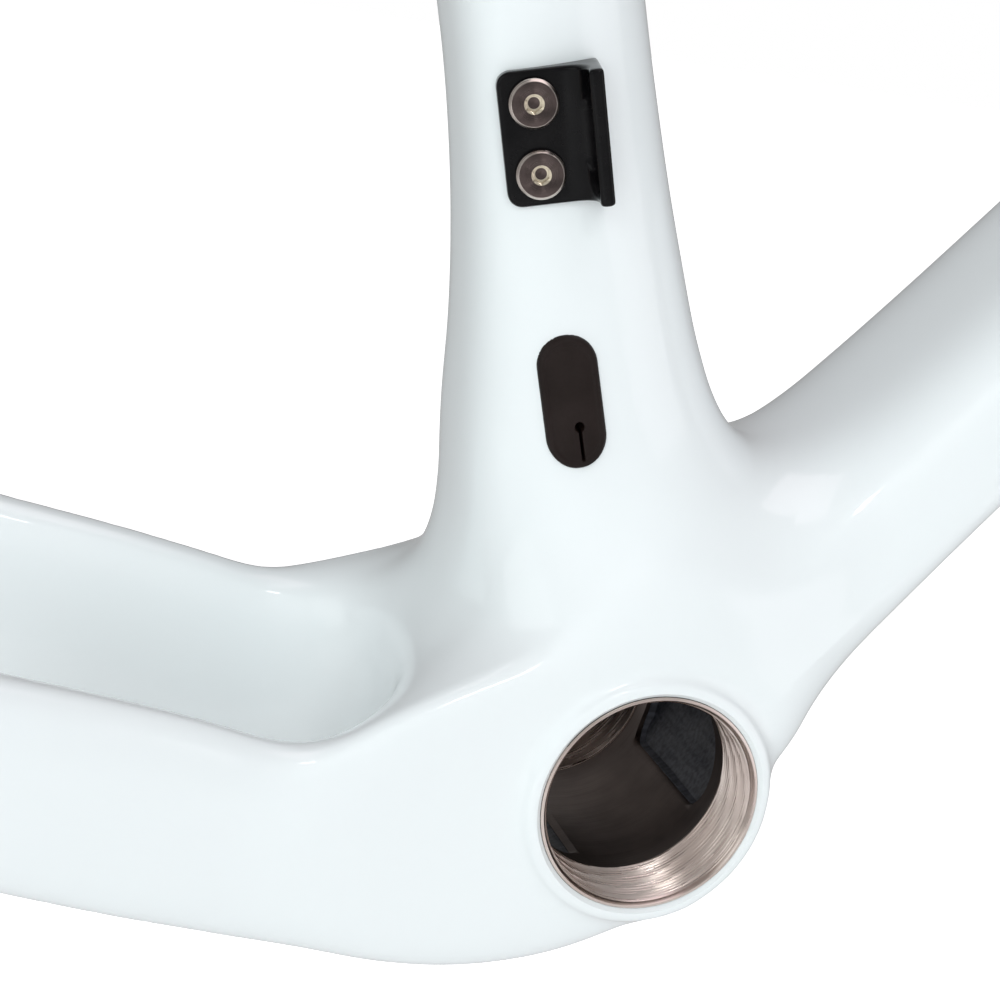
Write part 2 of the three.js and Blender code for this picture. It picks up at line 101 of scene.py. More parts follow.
def smooth_max(a, b, width):
    return -smooth_min(-a, -b, width)


def smooth_step(s):
    s = np.clip(s, 0, 1)
    return s * s * (3 - 2 * s)


def curve(rows, column, t):
    """Smooth interpolation of one column of a table of stations."""
    at, value = rows[:, 0], rows[:, column]
    slope = np.gradient(value, at)
    i = np.clip(np.searchsorted(at, t) - 1, 0, len(at) - 2)
    span = at[i + 1] - at[i]
    s = np.clip((t - at[i]) / span, 0, 1)
    start = (1 + 2 * s) * (1 - s) ** 2 * value[i] + s * (1 - s) ** 2 * span * slope[i]
    return start + s**2 * (3 - 2 * s) * value[i + 1] + s**2 * (s - 1) * span * slope[i + 1]


def section_distance(u, v, half_u, half_v, exponent):
    """First-order distance to a superellipse."""
    x, y = np.abs(u) / half_u, np.abs(v) / half_v
    xn, yn = x ** (exponent - 1), y ** (exponent - 1)
    size = np.maximum((xn * x + yn * y) ** (1 / exponent), 1e-6)
    slope = np.hypot(xn / half_u, yn / half_v) * size ** (1 - exponent)
    return (size - 1) / np.maximum(slope, 1e-9)


def tube_distance(p, along, across, rows, taper=0):
    """Distance to a main tube. The taper narrows the top of its sections and widens the bottom."""
    x, y, z = p
    t = x * along[0] + z * along[2]
    u = x * across[0] + z * across[2] - curve(rows, 1, t)
    half_height = curve(rows, 2, t)
    lean = taper * smooth_step((t - 30) / 50) * np.clip(u / half_height, -1, 1)
    d = section_distance(u, y, half_height, curve(rows, 3, t) * (1 - lean), curve(rows, 4, t))
    return np.maximum(d, -t)


def stay_distance(p, side, rows):
    """Distance to a chain stay on one side, -1 for the drive side and 1 for the other."""
    x, y, z = p
    top, bottom = curve(rows, 1, -x), curve(rows, 2, -x)
    u = z - (top + bottom) / 2
    v = side * y - curve(rows, 3, -x)
    d = section_distance(u, v, (top - bottom) / 2, curve(rows, 4, -x), STAY_EXPONENT)
    return np.maximum(d, rows[0, 0] + x)


SEAT_ALONG = np.array([-math.cos(SEAT_ANGLE), 0, math.sin(SEAT_ANGLE)])
SEAT_ACROSS = np.array([math.sin(SEAT_ANGLE), 0, math.cos(SEAT_ANGLE)])
DOWN_ALONG = np.array([math.cos(DOWN_ANGLE), 0, math.sin(DOWN_ANGLE)])
DOWN_ACROSS = np.array([-math.sin(DOWN_ANGLE), 0, math.cos(DOWN_ANGLE)])


def skin(points):
    """Negative inside the painted surface. points is an array of rows x, y, z in millimetres."""
    p = points[:, 0], points[:, 1], points[:, 2]
    x, y, z = p
    d = smooth_min(
        tube_distance(p, SEAT_ALONG, SEAT_ACROSS, SEAT_SECTIONS),
        tube_distance(p, DOWN_ALONG, DOWN_ACROSS, DOWN_SECTIONS, DOWN_TAPER),
        43,
    )
    belly = smooth_max(np.hypot((x + 28) / 1.3, z + 9) - 27.5, np.abs(y) - 39, 8)
    d = smooth_min(d, belly, 16)
    wheel = np.hypot(x + 348, z - 66) - 299
    d = smooth_max(d, -smooth_max(wheel, np.abs(y) - 22.5, 24), 12)
    rising = smooth_step((x + 85) / 50) * smooth_step((z + 12) / 30)
    d = smooth_min(d, stay_distance(p, -1, DRIVE_STAY), 24 + 28 * rising)
    d = smooth_min(d, stay_distance(p, 1, NONDRIVE_STAY), 24 + 21 * rising)
    wheel = wheel + 12 * smooth_step(z / 35)
    d = smooth_max(d, -smooth_max(wheel, np.abs(y) - 22.5, 24), 22)
    d = smooth_min(d, smooth_max(np.hypot(x, z) - 26.3, np.abs(y) - 43, 2), 6)
    flank = 41.5 + 0.13 * smooth_max(0, -x - 60, 30)
    return smooth_max(d, np.abs(y) - flank, 5)


def gradient(field, points, e=0.02):
    g = np.empty_like(points)
    for k in range(3):
        step = np.zeros(3)
        step[k] = e
        g[:, k] = (field(points + step) - field(points - step)) / (2 * e)
    return g


def settle(field, points, reach):
    """Newton steps that bring each point onto the surface."""
    for _ in range(3):
        g = gradient(field, points)
        step = -(field(points) / np.maximum((g * g).sum(1), 1e-6))[:, None] * g
        length = np.linalg.norm(step, axis=1, keepdims=True)
        points = points + step * np.minimum(1, reach / np.maximum(length, 1e-9))
    return points


# ---------------------------------------------------------------- surface nets


def sample(field, low, high, step, chunk=300000):
    counts = [int(math.ceil((high[k] - low[k]) / step)) + 1 for k in range(3)]
    axes = [low[k] + step * np.arange(counts[k]) for k in range(3)]
    grid = np.stack(np.meshgrid(*axes, indexing="ij"), -1).reshape(-1, 3)
    values = np.empty(len(grid))
    for i in range(0, len(grid), chunk):
        values[i : i + chunk] = field(grid[i : i + chunk])
    return values.reshape(counts)


def net(values, low, step):
    """A closed, outward-facing quad mesh of the zero surface of a grid of values."""
    inside = values < 0
    nx, ny, nz = values.shape
    corners = [(i, j, k) for i in (0, 1) for j in (0, 1) for k in (0, 1)]
    count = sum(
        inside[i : nx - 1 + i, j : ny - 1 + j, k : nz - 1 + k].astype(np.int8) for i, j, k in corners
    )
    cells = np.argwhere((count > 0) & (count < 8))
    index = -np.ones((nx - 1, ny - 1, nz - 1), int)
    index[tuple(cells.T)] = np.arange(len(cells))
    total, hits = np.zeros((len(cells), 3)), np.zeros(len(cells))
    for corner in corners:
        for axis in range(3):
            if corner[axis]:
                continue
            far = list(corner)
            far[axis] = 1
            a = values[tuple((cells + corner).T)]
            b = values[tuple((cells + far).T)]
            crossed = (a < 0) != (b < 0)
            share = np.where(crossed, a / np.where(crossed, a - b, 1), 0)
            spot = np.array(corner, float) + share[:, None] * (np.array(far) - np.array(corner))
            total[crossed] += spot[crossed]
            hits[crossed] += 1
    points = np.array(low) + step * (cells + total / hits[:, None])
    quads = []
    for axis in range(3):
        first, second = [k for k in range(3) if k != axis]
        lower = [slice(1, n - 1) for n in values.shape]
        lower[axis] = slice(0, values.shape[axis] - 1)
        upper = list(lower)
        upper[axis] = slice(1, values.shape[axis])
        here, there = inside[tuple(lower)], inside[tuple(upper)]
        base = np.argwhere(here != there)
        flip = here[tuple(base.T)]
        base[:, first] += 1
        base[:, second] += 1

        def cell(da, db):
            spot = base.copy()
            spot[:, first] += da
            spot[:, second] += db
            return index[tuple(spot.T)]

        quad = np.stack([cell(-1, -1), cell(0, -1), cell(0, 0), cell(-1, 0)], 1)
        keep = flip if axis != 1 else ~flip
        quads.append(np.where(keep[:, None], quad, quad[:, ::-1]))
    return points, np.concatenate(quads)


def net_of(field, low, high, step):
    points, quads = net(sample(field, low, high, step), low, step)
    return settle(field, points, step / 2), quads


# ---------------------------------------------------------------- meshes


def new_object(name, points, faces, matrix=None):
    """A mesh object from points in millimetres."""
    data = bpy.data.meshes.new(name)
    data.from_pydata((np.asarray(points) * MM).tolist(), [], [list(map(int, f)) for f in faces])
    data.validate()
    obj = bpy.data.objects.new(name, data)
    if matrix is not None:
        obj.matrix_world = matrix
    bpy.context.scene.collection.objects.link(obj)
    return obj


def points_of(data):
    co = np.empty(len(data.vertices) * 3)
    data.vertices.foreach_get("co", co)
    return co.reshape(-1, 3) / MM


def combined(obj, cutter, operation):
    """obj changed by one boolean with cutter, which is left as it was."""
    modifier = obj.modifiers.new("cut", "BOOLEAN")
    modifier.object = cutter
    modifier.operation = operation
    modifier.solver = "MANIFOLD"
    graph = bpy.context.evaluated_depsgraph_get()
    data = bpy.data.meshes.new_from_object(obj.evaluated_get(graph))
    obj.modifiers.clear()
    obj.data = data
    return obj


def discard(*objects):
    for obj in objects:
        bpy.data.objects.remove(obj)


def block(name, low, high, matrix=None):
    corners = [(x, y, z) for x in (low[0], high[0]) for y in (low[1], high[1]) for z in (low[2], high[2])]
    faces = [(0, 1, 3, 2), (4, 6, 7, 5), (0, 4, 5, 1), (2, 3, 7, 6), (0, 2, 6, 4), (1, 5, 7, 3)]
    return new_object(name, np.array(corners, float), faces, matrix)


def swept_rings(rings):
    """Faces between closed rings of points of equal count, each ring joined to the next."""
    rows, columns = rings.shape[:2]
    index = np.arange(rows * columns).reshape(rows, columns)
    right = np.roll(index, -1, 1)
    return np.stack([index[:-1], index[1:], right[1:], right[:-1]], -1).reshape(-1, 4).tolist()


def turned(name, profile, segments, matrix=None, radius_at=None):
    """A closed solid turned about Y. profile holds (radius, y); ends at radius 0 are closed by one face."""
    angle = np.linspace(0, 2 * math.pi, segments, endpoint=False)
    radius = np.array([r for r, _ in profile], float)[:, None] * np.ones(segments)
    along = np.array([y for _, y in profile], float)[:, None] * np.ones(segments)
    if radius_at is not None:
        radius, along = radius_at(radius, along, angle)
    rings = np.stack([radius * np.cos(angle), along, radius * np.sin(angle)], -1)
    faces = swept_rings(rings)
    rows = len(profile)
    if profile[0] == profile[-1]:
        points = rings[:-1].reshape(-1, 3)
        faces = [[v % len(points) for v in f] for f in faces]
    else:
        points = rings.reshape(-1, 3)
        faces.append(list(range(segments)))
        faces.append([(rows - 1) * segments + k for k in reversed(range(segments))])
    return new_object(name, points, outward(points, faces), matrix)


def outward(points, faces):
    """The faces turned so that they all face out of the closed solid."""
    volume = 0.0
    for f in faces:
        a = points[f[0]]
        for b, c in zip(f[1:-1], f[2:]):
            volume += np.dot(a, np.cross(points[b], points[c]))
    return faces if volume > 0 else [f[::-1] for f in faces]


def rounded_outline(width, height, corner, steps=8):
    """A rounded rectangle as rows of u, v."""
    points = []
    for cu, cv, start in ((1, -1, -90), (1, 1, 0), (-1, 1, 90), (-1, -1, 180)):
        for k in range(steps + 1):
            a = math.radians(start + 90 * k / steps)
            u = cu * (width / 2 - corner) + corner * math.cos(a)
            v = cv * (height / 2 - corner) + corner * math.sin(a)
            points.append((u, v))
    return np.array(points)


def prism(name, outline, start, end, matrix=None):
    """An outline in X and Z, extruded along Y."""
    n = len(outline)
    near = np.stack([outline[:, 0], np.full(n, start), outline[:, 1]], 1)
    far = np.stack([outline[:, 0], np.full(n, end), outline[:, 1]], 1)
    faces = [(k, (k + 1) % n, n + (k + 1) % n, n + k) for k in range(n)]
    faces += [tuple(reversed(range(n))), tuple(range(n, 2 * n))]
    points = np.concatenate([near, far])
    return new_object(name, points, outward(points, faces), matrix)


def axes_matrix(x, y, z, origin):
    """A frame from three directions and an origin in millimetres."""
    m = Matrix([(*x, 0), (*y, 0), (*z, 0), (0, 0, 0, 1)]).transposed()
    m.translation = Vector(origin) * MM
    return m


# ---------------------------------------------------------------- sites on the drive side


def seat_site(t, n, turn, tilt):
    """A frame on the seat tube's skin: X forward, Y into the wall, Z up the tube.

    Returns the axes as rows, and the origin.
    """
    foot = SEAT_ALONG * t + SEAT_ACROSS * n
    foot[1] = -60
    for _ in range(60):
        foot[1] += 0.8 * skin(foot[None])[0]
    basis = Matrix([SEAT_ACROSS, (0, 1, 0), SEAT_ALONG]).transposed()
    turned_basis = basis @ Matrix.Rotation(math.radians(-turn), 3, "Z")
    turned_basis = turned_basis @ Matrix.Rotation(math.radians(tilt), 3, "X")
    return np.array(turned_basis.transposed()), foot


HANGER_AXES, HANGER_SPOT = seat_site(t=141, n=-3.2, turn=14, tilt=0)
PORT_AXES, PORT_SPOT = seat_site(t=86.4, n=-3.1, turn=8, tilt=11)
HANGER_MATRIX = axes_matrix(*HANGER_AXES, HANGER_SPOT)
PORT_MATRIX = axes_matrix(*PORT_AXES, PORT_SPOT)
BOLT_SPACING = 14.3
BOLT_SPOTS = {"upper": BOLT_SPACING / 2, "lower": -BOLT_SPACING / 2}
PORT_WIDTH, PORT_HEIGHT, PORT_CORNER = 11.2, 24.4, 5.5


def to_row(points, axes, origin):
    return points @ axes + origin


# ---------------------------------------------------------------- painted carbon


def painted(points):
    """The skin with the collar that stands round the bore."""
    x, y, z = points.T
    collar = smooth_max(np.hypot(x, z) - COLLAR_R, np.abs(y) - HALF_SHELL, 1.4)
    return smooth_min(skin(points), collar, 5)


def capped(points):
    """The painted surface, closed beyond the cut ends of the tubes."""
    x, _, z = points.T
    return np.maximum.reduce([painted(points), -178 - x, x - 128, z - 194])


def refined(points, quads, near):
    """The mesh with the quads near a place divided in four."""
    mesh = bmesh.new()
    verts = [mesh.verts.new(p) for p in points]
    for q in quads:
        mesh.faces.new([verts[i] for i in q])
    close = near(points)
    mesh.verts.index_update()
    edges = [e for e in mesh.edges if close[e.verts[0].index] and close[e.verts[1].index]]
    bmesh.ops.subdivide_edges(mesh, edges=edges, cuts=1, use_grid_fill=True)
    mesh.verts.index_update()
    out = np.array([v.co for v in mesh.verts])
    faces = [[v.index for v in f.verts] for f in mesh.faces]
    mesh.free()
    return out, faces


def near_collar(points):
    """Whether each point is where the collar meets the painted surface."""
    x, y, z = points.T
    r = np.hypot(x, z)
    return (np.abs(y) > 36) & (r > 21) & (r < 31.5)


def window(name, middle, half_angle, length):
    """A cutter for one of the sleeve's windows."""
    width = 2 * RELIEF_R * math.sin(math.radians(half_angle))
    m = Matrix.Rotation(math.radians(90 - middle), 4, "Y") @ Matrix.Rotation(math.pi / 2, 4, "X")
    return prism(name, rounded_outline(width, length, 5), -50, -5, m)


def slab(name, along, start, end):
    """A block between two distances along a direction in the XZ plane."""
    turn = Matrix.Rotation(math.atan2(along[0], along[2]), 4, "Y")
    return block(name, (-FAR, -FAR, start), (FAR, FAR, end), turn)


BACK = (-1, 0, 0)


def hollow_shell():
    """The painted surface with its wall, before any opening is cut."""
    low, high = np.array([-185.0, -62, -50]), np.array([135.0, 62, 200])
    values = sample(capped, low, high, SKIN_STEP)
    points, quads = net(values, low, SKIN_STEP)
    points = settle(capped, points, SKIN_STEP / 2)
    points, faces = refined(points, quads, near_collar)
    points = settle(capped, points, SKIN_STEP / 4)
    shell = new_object("shell", points, faces)

    coarse = values[::2, ::2, ::2] + WALL
    points, quads = net(coarse, low, 2 * SKIN_STEP)
    hollow = new_object("hollow", settle(lambda p: capped(p) + WALL, points, SKIN_STEP), quads)
    combined(shell, hollow, "DIFFERENCE")
    discard(hollow)
    return shell


def add_bore(shell):
    """The carbon tube round the sleeve, with the sleeve's windows, and the bore through it."""
    half, bore_r, bevel, flare = HALF_SHELL, SLEEVE_R + 0.1, 0.3, 5
    bore_profile = [
        (0, -half - flare), (bore_r + flare + bevel, -half - flare), (bore_r, -half + bevel),
        (bore_r, half - bevel), (bore_r + flare + bevel, half + flare), (0, half + flare),
    ]
    bore = turned("bore", bore_profile, ROUND)
    tunnel_r, end = COLLAR_R - 0.4, half - 1
    tunnel = turned("tunnel", [(0, -end), (tunnel_r, -end), (tunnel_r, end), (0, end)], ROUND)
    for cutter in windows:
        combined(tunnel, cutter, "DIFFERENCE")
    combined(shell, tunnel, "UNION")
    combined(shell, bore, "DIFFERENCE")
    discard(bore, tunnel)


def cut_drive_side(shell):
    """The cable port and the stepped holes of the two rivnuts."""
    outline = rounded_outline(PORT_WIDTH, PORT_HEIGHT, PORT_CORNER)
    cutters = [prism("port", outline, -8, 12, PORT_MATRIX)]
    for place, z in BOLT_SPOTS.items():
        at = HANGER_MATRIX @ Matrix.Translation((0, 0, z * MM))
        profile = [(0, -6), (4.9, -6), (4.9, 1.1), (3.6, 1.1), (3.6, 12), (0, 12)]
        cutters.append(turned("hole_" + place, profile, 48, at))
    for cutter in cutters:
        combined(shell, cutter, "DIFFERENCE")
    discard(*cutters)


def painted_pieces():
    """One object for each painted node, cut from one shell at the seams."""
    shell = hollow_shell()
    add_bore(shell)
    cut_drive_side(shell)

    crotch = 30
    seat = slab("seat", SEAT_ALONG, SEAT_SEAM, SEAT_END)
    down = slab("down", DOWN_ALONG, DOWN_SEAM, DOWN_END)
    stays = slab("stays", BACK, STAY_SEAM, STAY_END)
    ahead = block("ahead", (crotch, -FAR, -FAR), (FAR, FAR, FAR))
    behind = block("behind", (-FAR, -FAR, -FAR), (crotch, FAR, FAR))
    drive = block("drive", (-FAR, -FAR, -FAR), (FAR, 0, FAR))
    nondrive = block("nondrive", (-FAR, 0, -FAR), (FAR, FAR, FAR))
    centre = slab("centre", BACK, -FAR, STAY_SEAM)
    below_seat = slab("below_seat", SEAT_ALONG, -FAR, SEAT_SEAM)
    below_down = slab("below_down", DOWN_ALONG, -FAR, DOWN_SEAM)
    regions = {
        "bb_junction": (centre, below_seat, below_down),
        "seat_tube": (seat, behind),
        "down_tube": (down, ahead),
        "chainstay_drive": (stays, drive),
        "chainstay_nondrive": (stays, nondrive),
    }
    pieces = {}
    for name, cutters in regions.items():
        piece = bpy.data.objects.new(name + "_shell", shell.data.copy())
        bpy.context.scene.collection.objects.link(piece)
        for cutter in cutters:
            combined(piece, cutter, "INTERSECT")
        finish_shell(piece)
        pieces[name] = piece
    discard(shell, seat, down, stays, ahead, behind, drive, nondrive, centre, below_seat, below_down)
    return pieces


def face_data(data):
    centre = np.empty(len(data.polygons) * 3)
    normal = np.empty(len(data.polygons) * 3)
    data.polygons.foreach_get("center", centre)
    data.polygons.foreach_get("normal", normal)
    return centre.reshape(-1, 3) / MM, normal.reshape(-1, 3)


def corner_normals(data, angle):
    """The mesh's own normals, split where it bends by more than the angle."""
    data.polygons.foreach_set("use_smooth", np.ones(len(data.polygons), bool))
    data.set_sharp_from_angle(angle=math.radians(angle))
    normals = np.empty(len(data.loops) * 3)
    data.corner_normals.foreach_get("vector", normals)
    return normals.reshape(-1, 3)


def follow_field(data, field, on_field, angle=35):
    """Corners of the chosen faces take the field's direction, so neighbouring pieces shade as one."""
    normals = corner_normals(data, angle)
    loop_face = np.repeat(np.arange(len(data.polygons)), [p.loop_total for p in data.polygons])
    loop_vertex = np.empty(len(data.loops), int)
    data.loops.foreach_get("vertex_index", loop_vertex)
    chosen = on_field[loop_face]
    direction = gradient(field, points_of(data))
    direction /= np.maximum(np.linalg.norm(direction, axis=1, keepdims=True), 1e-9)
    normals[chosen] = direction[loop_vertex[chosen]]
    data.normals_split_custom_set(normals.tolist())


def finish_shell(piece):
    """Paint outside, bare carbon inside and on the cut ends."""
    data = piece.data
    data.materials.clear()
    data.materials.append(MATERIALS["paint"])
    data.materials.append(MATERIALS["carbon"])
    centre, normal = face_data(data)
    direction = gradient(painted, centre)
    direction /= np.maximum(np.linalg.norm(direction, axis=1, keepdims=True), 1e-9)
    outside = (np.abs(painted(centre)) < 0.6) & ((normal * direction).sum(1) > 0.75)
    mouth = (np.abs(centre[:, 1]) > HALF_SHELL - 0.6) & (np.hypot(centre[:, 0], centre[:, 2]) < COLLAR_R)
    data.polygons.foreach_set("material_index", (~(outside | mouth)).astype(np.int32))
    follow_field(data, painted, outside)


# ---------------------------------------------------------------- threaded sleeve


def sleeve():
    """The aluminium sleeve: a thread at each end, a plain bore between them, and two windows."""
    inner = HALF_SHELL - THREAD_DEPTH
    rows_per_pitch = 7
    mouth = THREAD_MAJOR_R + 0.45
    rows = int(THREAD_DEPTH * rows_per_pitch / THREAD_PITCH)
    thread = [(THREAD_MINOR_R, y) for y in np.linspace(HALF_SHELL - MOUTH_CHAMFER, inner + 0.02, rows)]
    side = [(SLEEVE_R, HALF_SHELL - 0.12), (SLEEVE_R - 0.12, HALF_SHELL), (mouth, HALF_SHELL)] + thread
    side += [(RELIEF_R, inner - 0.6), (RELIEF_R, inner - 6)]
    other = [(r, -y) for r, y in reversed(side)]
    profile = [(SLEEVE_R, 0.0)] + side + other + [(SLEEVE_R, 0.0)]

    def cut_thread(radius, along, angle):
        out = radius.copy()
        in_thread = np.isclose(radius, THREAD_MINOR_R)
        depth = HALF_SHELL - np.abs(along)
        phase = (along / THREAD_PITCH + angle / (2 * math.pi)) % 1
        ridge = np.clip(np.abs(phase - 0.5) * 2 / 0.78 - 0.12, 0, 1)
        fade = np.clip((depth - MOUTH_CHAMFER) / 0.8, 0, 1) * np.clip((THREAD_DEPTH - depth) / 0.8, 0, 1)
        height = THREAD_MAJOR_R - THREAD_MINOR_R
        out[in_thread] = (THREAD_MAJOR_R - height * ridge * fade)[in_thread]
        return out, along

    piece = turned("threaded_sleeve_metal", profile, ROUND, radius_at=cut_thread)
    for cutter in windows:
        combined(piece, cutter, "DIFFERENCE")
    piece.data.materials.clear()
    piece.data.materials.append(MATERIALS["aluminium"])
    # The plain middle of the sleeve takes the dark copy of the aluminium, painted shade deep in the bore.
    piece.data.materials.append(MATERIALS["bore"])
    centre, _ = face_data(piece.data)
    piece.data.polygons.foreach_set("material_index", (np.abs(centre[:, 1]) < inner).astype(np.int32))
    normals = corner_normals(piece.data, 50)
    piece.data.normals_split_custom_set(normals.tolist())
    return piece


# ---------------------------------------------------------------- pieces with rounded edges


def rounded_box(u, v, half_u, half_v, corner):
    du, dv = np.abs(u) - half_u + corner, np.abs(v) - half_v + corner
    return np.hypot(np.maximum(du, 0), np.maximum(dv, 0)) + np.minimum(np.maximum(du, dv), 0) - corner


def soft_piece(name, field, low, high, step, axes, origin, material, angle=60):
    """A piece from a field in a site's own frame, shaded by the field's own direction."""
    points, quads = net_of(field, np.array(low, float), np.array(high, float), step)
    piece = new_object(name, points, quads, axes_matrix(*axes, origin))
    piece.data.materials.append(material)
    follow_field(piece.data, field, np.ones(len(piece.data.polygons), bool), angle)
    return piece


def hanger():
    """A plate that follows the tube, and a tab that stands out along its front edge."""
    plate_face, reach = -2.6, -11.0
    rear, tab_back, front = -7.4, 10.9, 13.9
    half_height, corner = 13.75, 3.4
    slot_y, slot_half_length, slot_r = -6.6, 4.8, 2.7
    bolt_hole_r, recess_r, recess_floor = 2.7, 4.9, -0.3  # the recesses clear the rivnuts' flanges

    def field(p):
        x, y, z = p.T
        plate = smooth_max(np.abs(x - (rear + front) / 2) - (front - rear) / 2, plate_face - y, 1.2)
        tab = smooth_max(np.abs(x - (tab_back + front) / 2) - (front - tab_back) / 2, reach - y, 1.0)
        body = smooth_min(plate, tab, 6)
        body = np.maximum(body, x - front)
        ends = rounded_box(x - rear - 20, z, 20, half_height, corner)
        body = smooth_max(body, ends, 1.0)
        behind = -(skin(to_row(p, HANGER_AXES, HANGER_SPOT)) - 0.12)
        body = smooth_max(body, behind, 0.4)
        slot = np.hypot(y - slot_y, np.maximum(np.abs(z) - slot_half_length, 0)) - slot_r
        body = np.where(x > 6, smooth_max(body, -slot, 0.5), body)
        for at in BOLT_SPOTS.values():
            from_bolt = np.hypot(x, z - at)
            body = smooth_max(body, bolt_hole_r - from_bolt, 0.4)
            recess = np.maximum(from_bolt - recess_r, recess_floor - y)
            body = np.maximum(body, -recess)
        return body

    step = 0.36
    low, high = (-8.6, -12, -14.8), (14.8, 4.5, 14.8)
    axes, spot = HANGER_AXES, HANGER_SPOT
    return soft_piece("hanger_body", field, low, high, step, axes, spot, MATERIALS["anodised"])


def grommet():
    """A plug with a lip round the port, a shallow dish in its face and a keyhole for the cable."""
    half_width, half_height, corner = PORT_WIDTH / 2, PORT_HEIGHT / 2, PORT_CORNER
    lip, clearance, rim = 0.8, 0.2, 0.6
    lip_top, lip_foot, dish_floor, plug_end = 1.15, -0.3, 0.75, 4.4
    hole_x, hole_z, hole_r = 0.8, -5.0, 1.0
    slit_z, slit_half_width, slit_half_length = -8.2, 0.3, 3.4

    def field(p):
        x, y, z = p.T
        height = skin(to_row(p, PORT_AXES, PORT_SPOT))
        brim = rounded_box(x, z, half_width + lip, half_height + lip, corner + 0.7)
        brim = smooth_max(brim, height - lip_top, 1.3)
        brim = np.maximum(brim, lip_foot - height)
        plug = rounded_box(x, z, half_width - clearance, half_height - clearance, corner - 0.3)
        plug = np.maximum(plug, y - plug_end)
        plug = smooth_max(plug, height - lip_top, 1.3)
        body = np.minimum(brim, plug)
        dish = rounded_box(x, z, half_width - rim, half_height - rim - 0.1, corner - 0.7)
        dish = smooth_max(dish, dish_floor - height, 0.6)
        body = smooth_max(body, -dish, 0.5)
        hole = np.hypot(x - hole_x, z - hole_z) - hole_r
        slit = np.maximum(np.abs(x - hole_x) - slit_half_width, np.abs(z - slit_z) - slit_half_length)
        return smooth_max(body, -np.minimum(hole, slit), 0.25)

    step = 0.32
    low, high = (-8.2, -9.0, -15.2), (8.2, 5.4, 15.2)
    return soft_piece("grommet_body", field, low, high, step, PORT_AXES, PORT_SPOT, MATERIALS["rubber"])


def bolt(name, place):
    """A flat-headed screw with a hexagonal socket. Its axis is Y and its head faces -Y."""
    seat, tip = -2.65, 9.2
    top = seat - 1.9
    socket, head_r, shank_r = 1.5, 5.1, 2.2
    pitch, thread_depth = 0.8, 0.36
    head = [
        (0.0, top + 2.1), (1.2, top + 1.75), (socket, top + 1.7), (socket, top + 0.25), (2.05, top),
        (head_r - 0.6, top), (head_r - 0.52, top + 0.02), (head_r - 0.05, top + 0.55),
        (head_r, top + 0.65), (head_r, seat - 0.08), (head_r - 0.08, seat), (shank_r, seat),
    ]
    shank_from = seat + 0.8
    rows = 60
    shank = [(shank_r, y) for y in np.linspace(shank_from, tip - 0.6, rows)]
    profile = head + shank + [(1.6, tip), (0.0, tip)]

    def shape(radius, along, angle):
        hexagon = socket / np.cos((angle + math.pi / 6) % (math.pi / 3) - math.pi / 6)
        radius = radius.copy()
        radius[2:4] = hexagon
        threaded = slice(len(head), len(head) + rows)
        phase = (along[threaded] / pitch - angle / (2 * math.pi)) % 1
        fade = np.clip((along[threaded] - shank_from) / 0.6, 0, 1)
        radius[threaded] = shank_r - thread_depth * fade * (1 - np.abs(phase - 0.5) * 2)
        return radius, along

    at = HANGER_MATRIX @ Matrix.Translation((0, 0, BOLT_SPOTS[place] * MM))
    piece = turned(name, profile, 72, at, shape)
    data = piece.data
    for key in ("bolt_face", "bolt_rim", "bolt_socket"):
        data.materials.append(MATERIALS[key])
    centre, _ = face_data(data)
    radius = np.hypot(centre[:, 0], centre[:, 2])
    rim = (radius > head_r - 0.6) & (centre[:, 1] < top + 0.66)
    inside = (radius < 2.0) & (centre[:, 1] < seat)
    data.polygons.foreach_set("material_index", (rim * 1 + inside * 2).astype(np.int32))
    data.normals_split_custom_set(corner_normals(data, 28).tolist())
    return piece


# ---------------------------------------------------------------- materials
class Nodes:
    """A short way to write a material's nodes."""

    def __init__(self, name):
        self.material = bpy.data.materials.new(name)
        self.material.use_nodes = True
        self.tree = self.material.node_tree
        self.shader = self.tree.nodes["Principled BSDF"]
        self.place = self.tree.nodes.new("ShaderNodeTexCoord").outputs["Object"]

    def new(self, kind, **inputs):
        node = self.tree.nodes.new("ShaderNode" + kind)
        for key, value in inputs.items():
            self.put(node.inputs[key.replace("_", " ")], value)
        return node

    def put(self, socket, value):
        if isinstance(value, bpy.types.NodeSocket):
            self.tree.links.new(value, socket)
        else:
            socket.default_value = value

    def set(self, **inputs):
        for key, value in inputs.items():
            self.put(self.shader.inputs[key.replace("_", " ")], value)

    def stretched(self, x, y, z):
        return self.new("Mapping", Vector=self.place, Scale=(x, y, z)).outputs["Vector"]

    def noise(self, scale, detail=2.0, vector=None, roughness=0.5):
        place = vector or self.place
        node = self.new("TexNoise", Vector=place, Scale=scale, Detail=detail, Roughness=roughness)
        return node.outputs["Fac"]

    def ramp(self, value, *stops):
        node = self.new("ValToRGB", Fac=value)
        elements = node.color_ramp.elements
        while len(elements) < len(stops):
            elements.new(0.5)
        for element, (position, colour) in zip(elements, stops):
            element.position = position
            element.color = (*colour, 1) if len(colour) == 3 else colour
        return node.outputs["Color"]

    def range(self, value, low, high, to_low, to_high):
        node = self.tree.nodes.new("ShaderNodeMapRange")
        self.put(node.inputs[0], value)
        for k, v in enumerate((low, high, to_low, to_high)):
            node.inputs[k + 1].default_value = v
        return node.outputs[0]

    def bump(self, height, distance, strength=1.0):
        return self.new("Bump", Height=height, Distance=distance, Strength=strength).outputs["Normal"]


